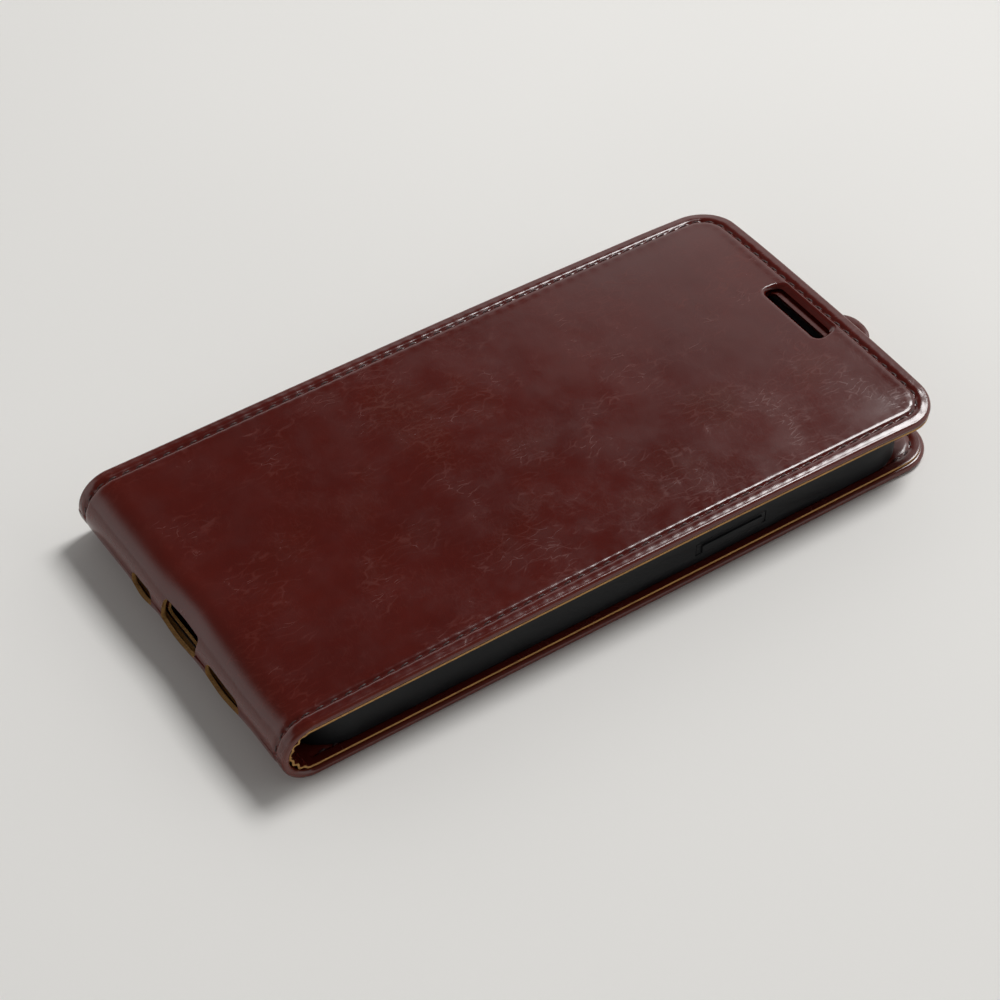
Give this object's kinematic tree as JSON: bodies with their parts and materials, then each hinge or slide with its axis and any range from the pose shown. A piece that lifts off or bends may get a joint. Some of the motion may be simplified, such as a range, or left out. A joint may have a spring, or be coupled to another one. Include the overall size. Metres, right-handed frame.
{
  "type": "phone wallet case",
  "caption": "Flip-style leather phone case with a moulded tray on the back panel, a folding rounded spine, and a cover with card pockets and an earpiece slot.",
  "frame": {"origin": "centre of the closed case's footprint, pull tab included, on the back panel's outer face", "axes": "+Y from the folding spine to the free end with the pull tab, +Z from the back panel to the cover, +X to the phone's right-hand side seen from its screen"},
  "size_m": [0.0782, 0.1656, 0.014],
  "materials": {
    "leather": "gloss",
    "lining": "satin",
    "thread": "satin",
    "board": "matte",
    "tray_plastic": "satin",
    "adhesive": "matte",
    "steel": "satin"
  },
  "bodies": {
    "back": {"back_skin": "leather", "back_board": "board", "back_lining": "lining", "back_seam": "thread", "phone_tray": "tray_plastic", "tray_adhesive": "adhesive", "catch_strips": "steel", "tab_root": "leather"},
    "spine": {"spine_skin": "leather", "spine_interlining": "board", "spine_lining": "lining", "spine_seam": "thread"},
    "cover": {"cover_skin": "leather", "cover_board": "board", "cover_lining": "lining", "cover_seam": "thread", "cover_magnets": "steel", "rear_card_pocket": "lining", "front_card_pocket": "lining", "pocket_seam": "thread"},
    "pull_tab": {"tab_skin": "leather", "tab_lining": "lining", "tab_seam": "thread"},
    "volume_key": {"volume_key_pad": "tray_plastic"},
    "power_key": {"power_key_pad": "tray_plastic"}
  },
  "joints": [
    {"name": "spine_fold", "type": "hinge", "parent": "back", "child": "spine", "pos_m": [0, -0.0807, 0.00205], "axis": [1, 0, 0], "range_deg": [0, 180]},
    {"name": "cover_fold", "type": "hinge", "parent": "spine", "child": "cover", "pos_m": [0, -0.0807, 0.01195], "axis": [1, 0, 0], "range_deg": [0, 180]},
    {"name": "tab_flex", "type": "hinge", "parent": "back", "child": "pull_tab", "pos_m": [0, 0.07175, 0.00175], "axis": [1, 0, 0], "range_deg": [0, 80]},
    {"name": "volume_press", "type": "slide", "parent": "back", "child": "volume_key", "axis": [-1, 0, 0], "range_m": [0, 0.0004], "stiffness_N_per_m": 800},
    {"name": "power_press", "type": "slide", "parent": "back", "child": "power_key", "axis": [1, 0, 0], "range_m": [0, 0.0004], "stiffness_N_per_m": 800}
  ]
}
